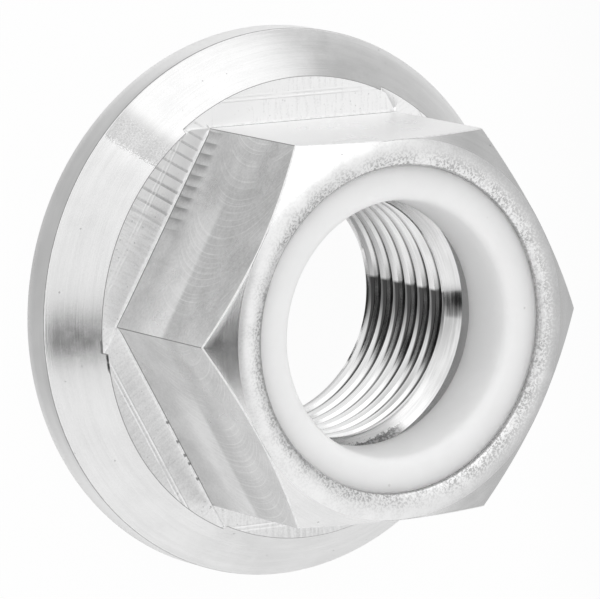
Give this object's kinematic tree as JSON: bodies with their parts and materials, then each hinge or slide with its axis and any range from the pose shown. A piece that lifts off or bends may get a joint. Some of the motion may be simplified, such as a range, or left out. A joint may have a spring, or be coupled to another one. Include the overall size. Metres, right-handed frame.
{
  "type": "flange lock nut",
  "caption": "Hex flange lock nut with a conical flange, a fine internal thread and a white nylon locking ring crimped into its outer end.",
  "frame": {"origin": "centre of the flange's bearing face, on the thread axis", "axes": "+Z along the thread axis towards the end with the locking ring, +X through one corner of the hexagon"},
  "size_m": [0.0248, 0.0248, 0.0115],
  "materials": {
    "steel": "turned and milled, bright",
    "nylon": "moulded, matte white"
  },
  "bodies": {
    "root": {"nut_body": "steel", "locking_ring": "nylon"}
  },
  "joints": []
}
